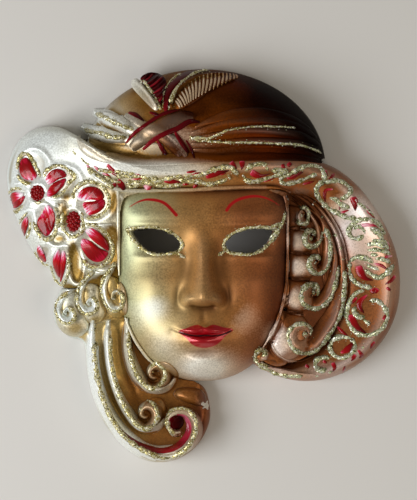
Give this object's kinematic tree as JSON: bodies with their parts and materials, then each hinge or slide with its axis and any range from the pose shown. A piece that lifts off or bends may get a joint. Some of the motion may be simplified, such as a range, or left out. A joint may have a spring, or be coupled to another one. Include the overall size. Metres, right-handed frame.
{
  "type": "masquerade wall mask",
  "caption": "Ceramic wall mask of a lady under a swept-up hat with flowers, feathers and scrolled hair; hollow back, open eyes and a drilled hanging tab.",
  "frame": {"origin": "middle of the flat back rim's box, on the back plane", "axes": "+Z out of the face, +Y up to the crown, +X to the viewer's right"},
  "size_m": [0.1998, 0.1993, 0.0464],
  "materials": {
    "gold_face": "airbrushed metallic gold going over to copper, satin",
    "pearl_brim": "airbrushed pearl white going over to copper, satin",
    "copper_crown": "airbrushed copper metallic, satin",
    "pearl_folds": "pearl white metallic, satin",
    "ribbon_gold": "gold metallic with dark red edges, satin",
    "maroon_enamel": "dark red enamel, glossy",
    "red_enamel": "red enamel, glossy",
    "hair_gold": "gold and copper metallic, satin",
    "bare_body": "unglazed white casting body, matt"
  },
  "bodies": {
    "root": {"face_shell": "gold_face", "hat_brim": "pearl_brim", "hat_crown": "copper_crown", "hair_bed_right": "hair_gold", "hair_bed_left": "hair_gold", "neck": "hair_gold", "hanging_tab": "bare_body", "band_fold_upper": "pearl_folds", "band_fold_lower": "pearl_folds", "band_pleat_upper": "copper_crown", "band_pleat_middle": "copper_crown", "band_pleat_lower": "copper_crown", "ribbon_over": "ribbon_gold", "ribbon_under_upper": "ribbon_gold", "ribbon_under_lower": "ribbon_gold", "small_feather_vane": "maroon_enamel", "small_feather_quill": "pearl_folds", "small_feather_barbs": "maroon_enamel", "large_feather_vane": "copper_crown", "large_feather_quill": "maroon_enamel", "large_feather_barbs": "copper_crown", "upper_flower_petal_1": "red_enamel", "upper_flower_petal_2": "red_enamel", "upper_flower_petal_3": "red_enamel", "upper_flower_petal_4": "red_enamel", "upper_flower_petal_5": "red_enamel", "lower_flower_petal_1": "red_enamel", "lower_flower_petal_2": "red_enamel", "lower_flower_petal_3": "red_enamel", "lower_flower_petal_4": "red_enamel", "lower_flower_petal_5": "red_enamel", "upper_flower_heart": "red_enamel", "lower_flower_heart": "red_enamel", "right_curl_1": "hair_gold", "right_curl_2": "hair_gold", "right_curl_3": "hair_gold", "right_curl_4": "hair_gold", "right_curl_5": "hair_gold", "right_strand_1": "hair_gold", "right_strand_2": "hair_gold", "right_strand_3": "hair_gold", "right_strand_4": "hair_gold", "right_strand_5": "hair_gold", "chin_curl": "hair_gold", "left_curl_1": "hair_gold", "left_curl_2": "hair_gold", "left_curl_3": "hair_gold", "lock_inner": "hair_gold", "lock_middle": "hair_gold", "lock_outer": "hair_gold"}
  },
  "joints": []
}
